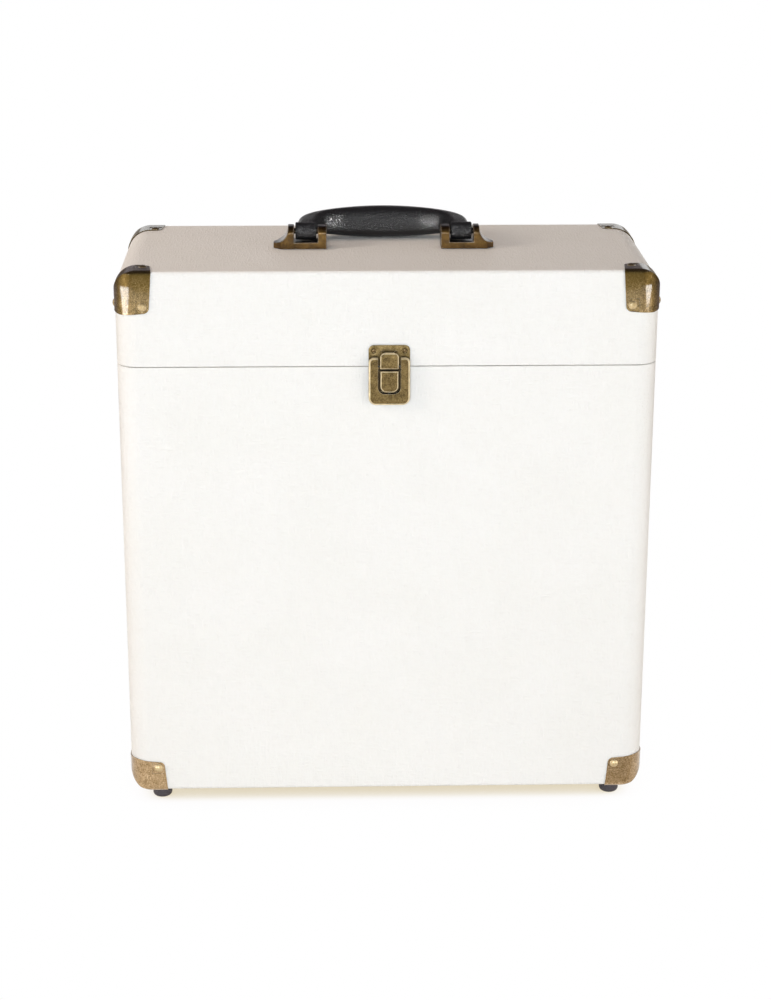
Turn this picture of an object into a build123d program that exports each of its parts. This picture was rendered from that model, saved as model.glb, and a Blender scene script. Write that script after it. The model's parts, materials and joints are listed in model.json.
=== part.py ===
# Record carrying case for twelve-inch records: a board box in a leatherette cover, with a hinged lid,
# eight brass corners, four rubber feet, a folding handle and a sprung hasp latch.
# Millimetres. X runs to the right, Y to the back, Z up. The origin is on the floor under the middle of the case.

import os

from build123d import *

os.makedirs("parts", exist_ok=True)

# ---- Case, outside, without feet and fittings
case_width = 360.0
case_depth = 153.0
body_height = 307.0  # underside of the case to the seam
lid_height = 64.0  # seam to the top face
seam_gap = 0.5
foot_stand = 10.5  # floor to the underside of the case
end_radius = 15.0  # long edges between the ends and the top or bottom
upright_radius = 15.0  # the four upright edges
upright_overrun = 0.02  # the uprights' rounding crosses the flat faces from this far outside them
rim_radius = 2.5  # long edges of the top and bottom, front and back

# ---- Walls, from the outside in
cover_thickness = 0.8  # leatherette
board_thickness = 8.0  # fibreboard
lining_thickness = 0.8  # flocked paper
glue_gap = 0.05  # between curved faces that are glued, and under the fittings
cover_edge_radius = 0.6  # leatherette turned over at the seam

# ---- Lip that stands up inside the seam and centres the lid
lip_thickness = 2.5
lip_rise = 8.0  # above the seam
lip_depth = 32.0  # below the seam
lip_headroom = 1.5  # lid lining stops this far above the lip

# ---- Brass corners: how far each reaches from the corner of the case along X, Y and Z
top_corner_reach = (25.0, 20.7, 29.5)
bottom_corner_reach = (26.0, 29.5, 23.3)
corner_sheet = 0.7
corner_taper = 2.0  # each lobe narrows by this much towards its free tip
corner_tip_radius = 4.0
nail_setback = 4.2  # from the tip's two edges to the nail
pad_depth = 0.3  # pressed square under each nail
pad_margin = 0.2

# ---- Feet
foot_radius = 6.75
foot_edge_radius = 2.6
foot_inset_x = 21.0  # foot's centre from the end of the case
foot_inset_y = 15.5  # foot's centre from the front or back of the case
foot_counterbore_radius = 3.0
foot_counterbore_depth = 5.0

# ---- Handle and its brackets
handle_x = -1.0  # the handle sits this far from the middle of the lid
handle_span = 106.2  # between the middles of the two barrels
pin_height = 11.3  # above the top face
barrel_radius = 6.0
barrel_length = 14.4
grip_reach = 33.0  # pin axis to the middle of the grip
grip_thickness = 21.6
grip_width = 20.0
grip_end_thickness = 17.0
grip_end_width = 17.0
grip_end_offset = 38.0  # middle of the handle to where the grip turns into its arm
grip_bow = 1.6  # the grip's middle stands out this much past its ends
arm_start = 4.5  # where the arm leaves the barrel
arm_width = 14.0
arm_thickness = 10.2
elbow_width = 17.0  # widest part of the arm, clear of the bracket
section_roundness = 0.9  # share of a section's half size that its corners take up
arm_turns = (30, 60)  # degrees turned at each section between the arm and the grip's end
grip_shares = (0.4, 0.75)  # sections along the grip, from its end to its middle
bracket_depth = 15.6
bracket_base_thickness = 4.8
bracket_height = 15.3
bracket_top_radius = 5.0
upright_thickness = 6.0  # inner upright
outer_upright_thickness = 4.1
barrel_side_gap = 0.9
nose_length = 10.0  # from the outer upright to the tip
nose_height = 4.0
nose_chamfer = 4.8
flare_radius = 10.0
handle_pin_radius = 2.0
pin_end_setback = 0.3
pin_blind_depth = 2.2
backing_plate_thickness = 1.2
backing_plate_width = 14.0
backing_plate_margin = 5.0
bracket_thread_depth = 4.0
bracket_screw_inset = 3.2  # inner screw from the bracket's inner end
bracket_screw_outset = 6.8  # outer screw from the nose's tip

# ---- Latch, on the front: heights are from the seam, depths are out from the front face
latch_x = 0.8
latch_width = 27.5
latch_above = 7.2
latch_below = 25.4
latch_top_radius = 3.6
latch_bottom_radius = 5.0
latch_depth = 4.4
latch_bevel = 1.1
keeper_sheet = 1.0
keeper_above = 15.0
keeper_clearance = 0.3  # between the keeper and the latch body in front of it
slot_width = 15.0
slot_below = 17.7
slot_radius = 4.5
button_width = 12.0
button_top = 1.75  # below the seam
button_length = 14.65
button_radius = 4.2
button_depth = 5.3
button_travel = 1.0
button_bevel = 0.7
flange_overlap = 1.3  # button's flange under each side of the slot
flange_thickness = 0.85
latch_floor = 1.0
moving_gap = 0.3
hasp_width = 12.25
hasp_below = 0.3
hasp_above = 10.6
hasp_thickness = 1.45
hasp_radius = 3.0
hasp_edge_radius = 0.9
hasp_pin_radius = 0.6
hasp_pin_height = 9.8
hasp_pin_depth = 2.75
hasp_ear_radius = 1.2
hasp_ear_thickness = 2.0
hasp_knuckle_radius = 1.1
hasp_knuckle_width = 6.0
hook_width = 5.0
hook_height = 1.8
hook_back = 1.7
spring_coil_radius = 1.0
spring_wire_radius = 0.2
spring_turns = 6
spring_bore_radius = 1.35
spring_depth = 2.6
spring_seat_below = 24.0

# ---- Hinges, on the back
hinge_inset = 70.0  # middle of each hinge from the end of the case
leaf_width = 40.0
leaf_height = 17.0
leaf_sheet = 1.2
leaf_radius = 3.0
knuckle_radius = 2.6
knuckle_clearance = 0.4
knuckle_end_gap = 0.3
hinge_pin_radius = 1.2
hinge_pin_head = 0.5
hinge_screw_x = 13.0
hinge_screw_z = 11.0

# ---- Fits
running_clearance = 0.05
bore_clearance = 0.05
bore_overrun = 0.5

# ---- Fasteners: head radius, head height, shank radius
nail_sizes = (2.9, 1.3, 0.8)
keeper_nail_sizes = (1.2, 0.3, 0.6)
hinge_screw_sizes = (2.6, 1.0, 1.2)
latch_screw_sizes = (2.2, 1.0, 1.0)
bracket_screw_sizes = (3.6, 1.6, 1.6)
foot_screw_sizes = (2.8, 1.4, 1.4)
nail_length = 7.0
keeper_nail_length = 6.0
hinge_screw_length = 7.0
foot_screw_grip = 6.0  # screw's length inside the bottom board
latch_screw_grip = 2.0  # screw's length past the front face of the case
latch_screw_x = 11.6
latch_screw_below = 12.5
keeper_nail_x = 10.3
keeper_nail_height = 11.0
keeper_recess_radius = 1.9  # countersink round each keeper nail, at the plate's face
keeper_recess_depth = 0.5
keeper_recess_clearance = 0.15  # between the nail's head and the bottom of its countersink

# ---- Places worked out from the sizes above
half_width = case_width / 2
half_depth = case_depth / 2
underside = foot_stand
seam = underside + body_height
lid_edge = seam + seam_gap
top = lid_edge + lid_height
case_height = top - underside
board_inset = cover_thickness + glue_gap
cavity_inset = board_inset + board_thickness
lining_inset = cavity_inset + lining_thickness
lip_inset = lining_inset + lip_thickness
board_x = half_width - board_inset
board_y = half_depth - board_inset
cavity_x = half_width - cavity_inset
cavity_y = half_depth - cavity_inset
lining_x = half_width - lining_inset
lining_y = half_depth - lining_inset
lip_x = half_width - lip_inset
lip_y = half_depth - lip_inset
floor_z = underside + cavity_inset
ceiling_z = top - cavity_inset
corner_proud = glue_gap + corner_sheet
pad_proud = corner_proud - pad_depth
far = case_width + case_height  # longer than any cut needs


def box_between(low, high, mode=Mode.ADD):
    size = [end - start for start, end in zip(low, high)]
    middle = tuple((start + end) / 2 for start, end in zip(low, high))
    with Locations(middle):
        Box(*size, mode=mode)


def case_form(inset):
    """The outside form of the whole closed case, drawn in by inset on every side."""
    width, depth, height = [size - 2 * inset for size in (case_width, case_depth, case_height)]
    with BuildPart() as form:
        with BuildSketch(Plane.XZ):
            with Locations((0, underside + case_height / 2)):
                RectangleRounded(width, height, end_radius - inset)
        extrude(amount=depth / 2, both=True)
        rims = form.faces().sort_by(Axis.Y)
        fillet(rims[0].edges() + rims[-1].edges(), rim_radius - inset)
        with BuildSketch(Plane.XY):
            RectangleRounded(width + 2 * upright_overrun, depth + 2 * upright_overrun, upright_radius - inset)
        extrude(amount=far, mode=Mode.INTERSECT)
    return form.part


# ---- Where each fastener's head sits: the plane's normal points from the work towards the head
def corner_seats(side_x, side_y, reach, face_z, up):
    """Seats for one corner's nails. A foot's screw holds the lobe under the case, so it has no nail."""
    x, y, z = [size - corner_taper - nail_setback for size in reach]
    place_x = side_x * (half_width - x)
    place_y = side_y * (half_depth - y)
    place_z = face_z - up * z
    seats = [
        Plane((place_x, side_y * (half_depth + pad_proud), place_z), (1, 0, 0), (0, side_y, 0)),
        Plane((side_x * (half_width + pad_proud), place_y, place_z), (0, 1, 0), (side_x, 0, 0)),
    ]
    if up > 0:
        seats.append(Plane((place_x, place_y, face_z + up * pad_proud), (1, 0, 0), (0, 0, up)))
    return seats


sides = [(x, y) for x in (-1, 1) for y in (-1, 1)]
lid_nail_seats = [seat for x, y in sides for seat in corner_seats(x, y, top_corner_reach, top, 1)]
body_nail_seats = [
    seat for x, y in sides for seat in corner_seats(x, y, bottom_corner_reach, underside, -1)
]

foot_places = [(x * (half_width - foot_inset_x), y * (half_depth - foot_inset_y)) for x, y in sides]
foot_height = foot_stand - corner_proud
foot_screw_seats = [Plane((x, y, foot_counterbore_depth), (1, 0, 0), (0, 0, -1)) for x, y in foot_places]
foot_screw_length = underside + board_inset + foot_screw_grip - foot_counterbore_depth

bracket_inner = handle_span / 2 - barrel_length / 2 - barrel_side_gap - upright_thickness
gap_inner = bracket_inner + upright_thickness
gap_outer = gap_inner + barrel_length + 2 * barrel_side_gap
outer_face = gap_outer + outer_upright_thickness
bracket_tip = outer_face + nose_length
bracket_screw_places = (bracket_inner + bracket_screw_inset, bracket_tip - bracket_screw_outset)
plate_underside = top - lining_inset - backing_plate_thickness
bracket_screw_seats = [
    Plane((handle_x + side * x, 0, plate_underside), (1, 0, 0), (0, 0, -1))
    for side in (-1, 1)
    for x in bracket_screw_places
]
bracket_screw_length = top + glue_gap + bracket_thread_depth - plate_underside

# The latch is drawn on the front face: local x is X, local y is Z from the seam, local z is out to the front
front_face = Plane((latch_x, -half_depth, seam), (1, 0, 0), (0, -1, 0))
keeper_face = glue_gap + keeper_sheet
keeper_seat = keeper_face - keeper_recess_depth
latch_screw_seats = [
    Plane((latch_x + side * latch_screw_x, -lip_y, seam - latch_screw_below), (1, 0, 0), (0, 1, 0))
    for side in (-1, 1)
]
latch_screw_length = lip_inset + latch_screw_grip
keeper_nail_seats = [
    Plane((latch_x + side * keeper_nail_x, -half_depth - keeper_seat, seam + keeper_nail_height),
          (1, 0, 0), (0, -1, 0))
    for side in (-1, 1)
]

hinge_x = half_width - hinge_inset
hinge_axis_y = half_depth + knuckle_clearance + knuckle_radius
hinge_axis_z = seam + seam_gap / 2
leaf_face = half_depth + glue_gap + leaf_sheet
body_hinge_seats, lid_hinge_seats = [
    [
        Plane((side * hinge_x + offset * hinge_screw_x, leaf_face, hinge_axis_z + up * hinge_screw_z),
              (1, 0, 0), (0, 1, 0))
        for side in (-1, 1)
        for offset in (-1, 1)
    ]
    for up in (-1, 1)
]

fastener_sets = {
    "lid_corner_nails": (nail_sizes, nail_length, lid_nail_seats),
    "body_corner_nails": (nail_sizes, nail_length, body_nail_seats),
    "keeper_nails": (keeper_nail_sizes, keeper_nail_length, keeper_nail_seats),
    "body_hinge_screws": (hinge_screw_sizes, hinge_screw_length, body_hinge_seats),
    "lid_hinge_screws": (hinge_screw_sizes, hinge_screw_length, lid_hinge_seats),
    "latch_screws": (latch_screw_sizes, latch_screw_length, latch_screw_seats),
    "bracket_screws": (bracket_screw_sizes, bracket_screw_length, bracket_screw_seats),
    "foot_screws": (foot_screw_sizes, foot_screw_length, foot_screw_seats),
}


def fastener(sizes, length):
    """One nail or screw with a domed head, its head's underside at the origin and its shank along -Z."""
    head_radius, head_height, shank_radius = sizes
    with BuildPart() as made:
        with BuildSketch(Plane.XZ):
            with BuildLine():
                Polyline((0, head_height), (0, -length), (shank_radius, -length), (shank_radius, 0),
                         (head_radius, 0))
                RadiusArc((head_radius, 0), (0, head_height),
                          -(head_radius**2 + head_height**2) / (2 * head_height))
            make_face()
        revolve(axis=Axis.Z)
    return made.part


pieces = {}

for name, (sizes, length, seats) in fastener_sets.items():
    one = fastener(sizes, length)
    with BuildPart() as group:
        with Locations(*seats):
            add(one)
    pieces[name] = group.part

# Every drilled hole of the case, as one set of cylinders
with BuildPart() as drillings:
    for (_, _, shank_radius), length, seats in fastener_sets.values():
        with Locations(*seats):
            Cylinder(shank_radius + bore_clearance, length + bore_overrun,
                     align=(Align.CENTER, Align.CENTER, Align.MAX))

# ---- Boards, butted at the corners: front and back run the full width, and the sides stand between them
board_form = case_form(board_inset)


def board(low, high):
    with BuildPart() as made:
        add(board_form)
        box_between(low, high, Mode.INTERSECT)
        add(drillings.part, mode=Mode.SUBTRACT)
    return made.part


board_bottom, board_top = underside + board_inset, top - board_inset
body_rim, lid_rim = seam - cover_thickness, lid_edge + cover_thickness

for case_half, low_z, high_z in (("body", board_bottom, body_rim), ("lid", lid_rim, board_top)):
    pieces[f"{case_half}_front_panel"] = board((-board_x, -board_y, low_z), (board_x, -cavity_y, high_z))
    pieces[f"{case_half}_back_panel"] = board((-board_x, cavity_y, low_z), (board_x, board_y, high_z))
    pieces[f"{case_half}_left_panel"] = board((-board_x, -cavity_y, low_z), (-cavity_x, cavity_y, high_z))
    pieces[f"{case_half}_right_panel"] = board((cavity_x, -cavity_y, low_z), (board_x, cavity_y, high_z))

pieces["body_bottom_panel"] = board((-cavity_x, -cavity_y, board_bottom), (cavity_x, cavity_y, floor_z))
pieces["lid_top_panel"] = board((-cavity_x, -cavity_y, ceiling_z), (cavity_x, cavity_y, board_top))

# ---- Leatherette covers, wrapped over the outside and turned over the edges of the boards at the seam
cover_form = case_form(0)
cover_inside = case_form(cover_thickness)


def cover(low_z, high_z, core_low, core_high, seam_face):
    """A cover between two heights, hollow between core_low and core_high, open inside the boards."""
    with BuildPart() as core:
        add(cover_inside)
        box_between((-half_width, -half_depth, core_low), (half_width, half_depth, core_high),
                    Mode.INTERSECT)
    with BuildPart() as made:
        add(cover_form)
        box_between((-half_width, -half_depth, low_z), (half_width, half_depth, high_z), Mode.INTERSECT)
        rim = made.faces().filter_by(Plane.XY).sort_by(Axis.Z)[seam_face]
        fillet(rim.edges(), cover_edge_radius)
        add(core.part, mode=Mode.SUBTRACT)
        box_between((-cavity_x, -cavity_y, max(low_z, floor_z)),
                    (cavity_x, cavity_y, min(high_z, ceiling_z)), Mode.SUBTRACT)
        add(drillings.part, mode=Mode.SUBTRACT)
    return made.part


pieces["body_cover"] = cover(underside, seam, underside, body_rim, -1)
pieces["lid_cover"] = cover(lid_edge, top, lid_rim, top, 0)

# ---- Linings: flocked paper on the inner faces of the boards
with BuildPart() as body_lining:
    box_between((-cavity_x, -cavity_y, floor_z), (cavity_x, cavity_y, body_rim))
    box_between((-lining_x, -lining_y, floor_z + lining_thickness), (lining_x, lining_y, body_rim),
                Mode.SUBTRACT)
    add(drillings.part, mode=Mode.SUBTRACT)
pieces["body_lining"] = body_lining.part

lid_lining_edge = lid_edge + lip_rise + lip_headroom
with BuildPart() as lid_lining:
    box_between((-cavity_x, -cavity_y, lid_lining_edge), (cavity_x, cavity_y, ceiling_z))
    box_between((-lining_x, -lining_y, lid_lining_edge), (lining_x, lining_y, ceiling_z - lining_thickness),
                Mode.SUBTRACT)
    add(drillings.part, mode=Mode.SUBTRACT)
pieces["lid_lining"] = lid_lining.part

# ---- Lip strips, glued inside the body and standing up past the seam
lip_low, lip_high = seam - lip_depth, lid_edge + lip_rise
lip_corners = {
    "front_lip": ((-lining_x, -lining_y), (lining_x, -lip_y)),
    "back_lip": ((-lining_x, lip_y), (lining_x, lining_y)),
    "left_lip": ((-lining_x, -lip_y), (-lip_x, lip_y)),
    "right_lip": ((lip_x, -lip_y), (lining_x, lip_y)),
}
for name, ((low_x, low_y), (high_x, high_y)) in lip_corners.items():
    with BuildPart() as lip:
        box_between((low_x, low_y, lip_low), (high_x, high_y, lip_high))
        add(drillings.part, mode=Mode.SUBTRACT)
    pieces[name] = lip.part

# ---- Brass corners: pressed sheet round each corner of the case, in three lobes
corner_outside = case_form(-corner_proud)
corner_inside = case_form(-glue_gap)


def corner_piece(face_z, up, reach):
    """The corner piece at the left front of the case, at its top (up is 1) or bottom (up is -1)."""
    reach_x, reach_y, reach_z = reach
    lobes = (
        (Plane.XZ, -half_width, face_z, -up, reach_x, reach_z),
        (Plane.YZ, -half_depth, face_z, -up, reach_y, reach_z),
        (Plane.XY, -half_width, -half_depth, 1, reach_x, reach_y),
    )
    with BuildPart() as corner:
        with Locations((-half_width, -half_depth, face_z)):
            Box(*[2 * size for size in reach])
        add(corner_outside, mode=Mode.INTERSECT)
        add(corner_inside, mode=Mode.SUBTRACT)
        for plane, u, v, step, reach_u, reach_v in lobes:
            tip = (u + reach_u - corner_taper, v + step * (reach_v - corner_taper))
            with BuildSketch(plane) as outline:
                with BuildLine():
                    Polyline((u - reach_u, v - step * reach_v), (u + reach_u, v - step * reach_v),
                             (u + reach_u, v), tip, (u, v + step * reach_v),
                             (u - reach_u, v + step * reach_v), close=True)
                make_face()
                fillet(outline.vertices().sort_by_distance(tip)[0:1], corner_tip_radius)
            extrude(amount=far, both=True, mode=Mode.INTERSECT)
        with Locations(*corner_seats(-1, -1, reach, face_z, up)):
            Box(2 * (nail_setback + pad_margin), 2 * (nail_setback + pad_margin), corner_sheet,
                align=(Align.CENTER, Align.CENTER, Align.MIN), mode=Mode.SUBTRACT)
        add(drillings.part, mode=Mode.SUBTRACT)
    return corner.part


for case_half, face_z, up, reach in (("lid", top, 1, top_corner_reach),
                                     ("body", underside, -1, bottom_corner_reach)):
    front_left = corner_piece(face_z, up, reach)
    back_left = mirror(front_left, about=Plane.XZ)
    pieces[f"{case_half}_corner_front_left"] = front_left
    pieces[f"{case_half}_corner_back_left"] = back_left
    pieces[f"{case_half}_corner_front_right"] = mirror(front_left, about=Plane.YZ)
    pieces[f"{case_half}_corner_back_right"] = mirror(back_left, about=Plane.YZ)

# ---- Feet: rubber bumpers with a rounded lower rim, each counterbored for its screw
_, _, foot_shank_radius = foot_screw_sizes
for (x, y), (side_x, side_y) in zip(foot_places, sides):
    with BuildPart() as foot:
        with BuildSketch(Plane((x, y, 0))):
            Circle(foot_radius)
        extrude(amount=foot_height)
        fillet(foot.edges().group_by(Axis.Z)[0], foot_edge_radius)
        with Locations(Plane((x, y, 0), (1, 0, 0), (0, 0, -1))):
            CounterBoreHole(foot_shank_radius + bore_clearance, foot_counterbore_radius,
                            foot_counterbore_depth)
    row = "front" if side_y < 0 else "back"
    end = "left" if side_x < 0 else "right"
    pieces[f"foot_{row}_{end}"] = foot.part

# ---- Handle: a moulded grip and two arms in one, bowed towards the back as it lies folded on the lid
pin_z = top + pin_height
handle_middle = Plane.YZ.offset(handle_x)
handle_front = Plane.XZ.move(Location((handle_x, 0, 0)))  # local x from the handle's middle, local y is Z
barrel_x = handle_span / 2
grip_y = grip_reach - grip_bow
corner_reach = barrel_x - grip_end_offset


def section(width, thickness):
    """One cross section of the handle, its thickness along the sketch's local y."""
    RectangleRounded(width, thickness, section_roundness * min(width, thickness) / 2)


def handle_station(x, y, turn, width, thickness):
    """A cross section at (x, y) on the pin's level; turn is the path's heading, in degrees from +Y."""
    heading = Vector(0, 1, 0).rotate(Axis.Z, turn)
    with BuildSketch(Plane((handle_x + x, y, pin_z), heading.cross(Vector(0, 0, 1)), heading)) as made:
        section(width, thickness)
    return made.sketch


def arc_place(angle):
    """A place on the quarter ellipse that joins the arm to the grip."""
    sweep = Vector(1, 0, 0).rotate(Axis.Z, angle)
    return grip_end_offset + corner_reach * sweep.X, arm_start + (grip_y - arm_start) * sweep.Y


def between(start, end, share):
    return start + (end - start) * share


right_stations = [handle_station(barrel_x, 0, 0, arm_width, arm_thickness),
                  handle_station(barrel_x, arm_start, 0, arm_width, arm_thickness)]
for angle in arm_turns:
    share = angle / 90
    right_stations.append(handle_station(*arc_place(angle), angle, between(elbow_width, grip_end_width, share),
                                         between(arm_thickness, grip_end_thickness, share)))
right_stations.append(handle_station(grip_end_offset, grip_y, 90, grip_end_width, grip_end_thickness))
for share in grip_shares:
    bulge = 1 - (1 - share) ** 2
    right_stations.append(handle_station(between(grip_end_offset, 0, share),
                                         between(grip_y, grip_reach, bulge), 90,
                                         between(grip_end_width, grip_width, bulge),
                                         between(grip_end_thickness, grip_thickness, bulge)))
middle_station = handle_station(0, grip_reach, 90, grip_width, grip_thickness)
left_stations = [mirror(station, about=handle_middle) for station in reversed(right_stations)]

with BuildPart() as handle:
    loft([*right_stations, middle_station, *left_stations])
    for side in (-1, 1):
        with Locations(Plane((handle_x + side * barrel_x, 0, pin_z), (0, 1, 0), (1, 0, 0))):
            Cylinder(barrel_radius, barrel_length)
            Hole(handle_pin_radius + running_clearance, depth=barrel_length)
pieces["handle"] = handle.part

# ---- Handle brackets: cast, each with two uprights for the pin and a nose that flares down to the lid
upright_top = top + glue_gap + bracket_height
base_top = top + bracket_base_thickness
with BuildPart() as right_bracket:
    with BuildSketch(handle_front):
        with BuildLine():
            Polyline((bracket_tip, top + nose_height), (bracket_tip, top + glue_gap),
                     (bracket_inner, top + glue_gap), (bracket_inner, upright_top),
                     (outer_face, upright_top), (outer_face, top + nose_height + flare_radius))
            RadiusArc((outer_face, top + nose_height + flare_radius),
                      (outer_face + flare_radius, top + nose_height), -flare_radius)
        make_face()
        with Locations(((gap_inner + gap_outer) / 2, base_top)):
            Rectangle(gap_outer - gap_inner, far, align=(Align.CENTER, Align.MIN), mode=Mode.SUBTRACT)
    extrude(amount=bracket_depth / 2, both=True)
    with BuildSketch(Plane.YZ) as end_view:
        with Locations((0, top)):
            Rectangle(bracket_depth, upright_top - top, align=(Align.CENTER, Align.MIN))
        fillet(end_view.vertices().group_by(Axis.Y)[-1], bracket_top_radius)
    extrude(amount=far, mode=Mode.INTERSECT)
    nose = right_bracket.edges().filter_by(Axis.Z).group_by(Axis.X)[-1]
    chamfer(nose, nose_chamfer)
    with Locations(Plane((handle_x + bracket_inner, 0, pin_z), (0, 1, 0), (-1, 0, 0))):
        Cylinder(handle_pin_radius + bore_clearance, gap_outer + pin_blind_depth - bracket_inner,
                 align=(Align.CENTER, Align.CENTER, Align.MAX), mode=Mode.SUBTRACT)
    add(drillings.part, mode=Mode.SUBTRACT)
pieces["handle_bracket_right"] = right_bracket.part
pieces["handle_bracket_left"] = mirror(right_bracket.part, about=handle_middle)

pin_start, pin_end = bracket_inner + pin_end_setback, gap_outer + pin_blind_depth - pin_end_setback
with BuildPart() as right_pin:
    with Locations(Plane((handle_x + pin_start, 0, pin_z), (0, 1, 0), (1, 0, 0))):
        Cylinder(handle_pin_radius, pin_end - pin_start, align=(Align.CENTER, Align.CENTER, Align.MIN))
pieces["handle_pin_right"] = right_pin.part
pieces["handle_pin_left"] = mirror(right_pin.part, about=handle_middle)

plate_start = bracket_screw_places[0] - backing_plate_margin
plate_end = bracket_screw_places[1] + backing_plate_margin
with BuildPart() as backing_plates:
    for side in (-1, 1):
        with Locations((handle_x + side * (plate_start + plate_end) / 2, 0, plate_underside)):
            Box(plate_end - plate_start, backing_plate_width, backing_plate_thickness,
                align=(Align.CENTER, Align.CENTER, Align.MIN))
    add(drillings.part, mode=Mode.SUBTRACT)
pieces["backing_plates"] = backing_plates.part


# ---- Latch
def rounded_plate(low, high, low_radius, high_radius):
    """A plate's outline on the front face, across the latch's width, with rounded corners."""
    with BuildSketch() as outline:
        with Locations((0, (low + high) / 2)):
            Rectangle(latch_width, high - low)
        if low_radius:
            fillet(outline.vertices().group_by(Axis.Y)[0], low_radius)
        if high_radius:
            fillet(outline.vertices().group_by(Axis.Y)[-1], high_radius)
    return outline.sketch


def slab(sketch, start, end, mode=Mode.ADD):
    """A flat sketch raised on the front face between two depths."""
    with BuildSketch(front_face.offset(start)) as raised:
        add(sketch)
    extrude(raised.sketch, amount=end - start, mode=mode)


def tongue(width, low, high, radius):
    """An upright slot or button outline with a square top and a rounded bottom."""
    with BuildSketch() as outline:
        with Locations((0, (low + high) / 2)):
            Rectangle(width, high - low)
        fillet(outline.vertices().group_by(Axis.Y)[0], radius)
    return outline.sketch


keeper_nail_head, _, _ = keeper_nail_sizes
ear_x = hasp_knuckle_width / 2 + moving_gap
ear_middle = ear_x + hasp_ear_thickness / 2
hasp_pin_place = (hasp_pin_depth, hasp_pin_height)
# A plane across the latch: local x is out from the front face and local y is up from the seam
side_view = Plane((latch_x, -half_depth, seam), (0, -1, 0), (-1, 0, 0))

with BuildPart() as keeper_plate:
    slab(rounded_plate(seam_gap + moving_gap, keeper_above, 0, latch_top_radius), glue_gap, keeper_face)
    for side in (-1, 1):
        with BuildSketch(side_view.offset(side * ear_middle)):
            with Locations(hasp_pin_place):
                Circle(hasp_ear_radius)
                Rectangle(hasp_pin_depth - glue_gap, 2 * hasp_ear_radius, align=(Align.MAX, Align.CENTER))
        extrude(amount=hasp_ear_thickness / 2, both=True)
    with BuildSketch(side_view):
        with Locations(hasp_pin_place):
            Circle(hasp_pin_radius + bore_clearance)
    extrude(amount=latch_width, both=True, mode=Mode.SUBTRACT)
    with Locations(*keeper_nail_seats):
        Cone(keeper_nail_head + keeper_recess_clearance, keeper_recess_radius, keeper_recess_depth,
             align=(Align.CENTER, Align.CENTER, Align.MIN), mode=Mode.SUBTRACT)
    add(drillings.part, mode=Mode.SUBTRACT)
pieces["keeper_plate"] = keeper_plate.part

with BuildPart() as hasp_pin:
    with BuildSketch(side_view):
        with Locations(hasp_pin_place):
            Circle(hasp_pin_radius)
    extrude(amount=ear_x + hasp_ear_thickness, both=True)
pieces["hasp_pin"] = hasp_pin.part

hasp_back = hasp_pin_depth + hasp_ear_radius + moving_gap
hasp_face = hasp_back + hasp_thickness
hasp_root = hasp_face - hasp_edge_radius  # the knuckle and the hook start inside the plate
with BuildSketch() as hasp_outline:
    with Locations((0, (hasp_above - hasp_below) / 2)):
        Rectangle(hasp_width, hasp_above + hasp_below)
    fillet(hasp_outline.vertices().group_by(Axis.Y)[-1], hasp_radius)
with BuildPart() as hasp:
    slab(hasp_outline.sketch, hasp_back, hasp_face)
    fillet(hasp.faces().sort_by(Axis.Y)[0].edges(), hasp_edge_radius)
    with BuildSketch(side_view):
        with Locations(hasp_pin_place):
            Circle(hasp_knuckle_radius)
            Rectangle(hasp_root - hasp_pin_depth, 2 * hasp_knuckle_radius, align=(Align.MIN, Align.CENTER))
    extrude(amount=hasp_knuckle_width / 2, both=True)
    with BuildSketch(side_view):
        with Locations((hook_back, -hasp_below)):
            Rectangle(hasp_root - hook_back, hook_height, align=(Align.MIN, Align.MIN))
    extrude(amount=hook_width / 2, both=True)
    with BuildSketch(side_view):
        with Locations(hasp_pin_place):
            Circle(hasp_pin_radius + running_clearance)
    extrude(amount=hasp_knuckle_width, both=True, mode=Mode.SUBTRACT)
pieces["hasp"] = hasp.part

frame_back = keeper_face + keeper_clearance
flange_half = slot_width / 2 + flange_overlap
flange_back = glue_gap + latch_floor + moving_gap
button_bottom = -button_top - button_length
pocket_depth = flange_back + flange_thickness + moving_gap
pocket_low = button_bottom - button_travel - moving_gap
with BuildSketch() as pocket_outline:
    with Locations((0, (pocket_low - button_top) / 2)):
        Rectangle(2 * (flange_half + moving_gap), -button_top - pocket_low)
with BuildPart() as latch_body:
    slab(rounded_plate(-latch_below, latch_above, latch_bottom_radius, latch_top_radius),
         frame_back, latch_depth)
    chamfer(latch_body.faces().sort_by(Axis.Y)[0].edges(), latch_bevel)
    slab(rounded_plate(-latch_below, 0, latch_bottom_radius, 0), glue_gap, frame_back)
    slab(tongue(slot_width, -slot_below, far, slot_radius), glue_gap + latch_floor, far, Mode.SUBTRACT)
    slab(pocket_outline.sketch, glue_gap + latch_floor, pocket_depth, Mode.SUBTRACT)
    with Locations((latch_x, -half_depth - spring_depth, seam - spring_seat_below)):
        Cylinder(spring_bore_radius, spring_seat_below - slot_below + slot_radius,
                 align=(Align.CENTER, Align.CENTER, Align.MIN), mode=Mode.SUBTRACT)
    add(drillings.part, mode=Mode.SUBTRACT)
pieces["latch_body"] = latch_body.part

with BuildSketch() as flange_outline:
    with Locations((0, -button_top - moving_gap - (button_length - moving_gap) / 2)):
        Rectangle(2 * flange_half, button_length - moving_gap)
with BuildPart() as button:
    slab(tongue(button_width, button_bottom, -button_top, button_radius), flange_back, button_depth)
    chamfer(button.faces().sort_by(Axis.Y)[0].edges(), button_bevel)
    slab(flange_outline.sketch, flange_back, flange_back + flange_thickness)
pieces["latch_button"] = button.part

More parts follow.
